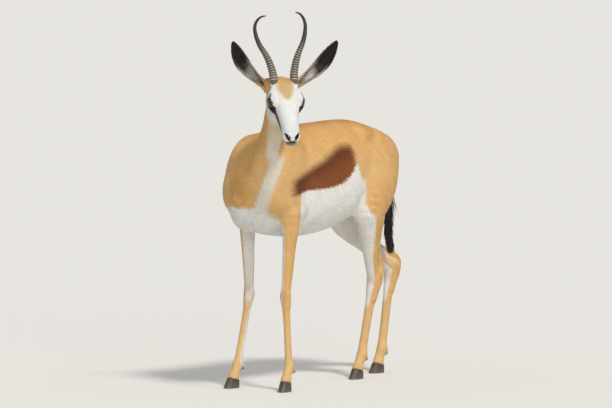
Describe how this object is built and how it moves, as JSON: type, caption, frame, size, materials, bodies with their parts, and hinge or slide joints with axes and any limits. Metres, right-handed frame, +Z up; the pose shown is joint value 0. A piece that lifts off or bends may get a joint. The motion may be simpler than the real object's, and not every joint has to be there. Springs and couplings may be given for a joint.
{
  "type": "springbok",
  "caption": "Life-size still model of a springbok ewe standing with her head turned, with ringed lyre horns, cupped ears and a tufted tail.",
  "frame": {"origin": "middle of the model's box, on the ground under the soles", "axes": "+Z up; the body faces -Y, so her left side is at +X; her head is turned to her left"},
  "size_m": [0.3855, 0.8595, 1.0869],
  "materials": {
    "coat": "short, flat, glossy summer coat, tan above and white below",
    "ear_skin": "short fur outside, thin grey hair over dark skin inside",
    "horn": "ringed horn, satin at the tips",
    "eye": "wet and glossy",
    "claw": "dull, dusty horn",
    "tail_hair": "white dock with a black tuft of longer hair"
  },
  "bodies": {
    "root": {"torso": "coat", "neck": "coat", "head": "coat", "foreleg_left": "coat", "foreleg_right": "coat", "hindleg_left": "coat", "hindleg_right": "coat", "tail": "tail_hair", "ear_left": "ear_skin", "horn_left": "horn", "eye_left": "eye", "ear_right": "ear_skin", "horn_right": "horn", "eye_right": "eye", "claw_fore_left_left": "claw", "claw_fore_left_right": "claw", "claw_fore_right_left": "claw", "claw_fore_right_right": "claw", "claw_hind_left_left": "claw", "claw_hind_left_right": "claw", "claw_hind_right_left": "claw", "claw_hind_right_right": "claw"}
  },
  "joints": []
}
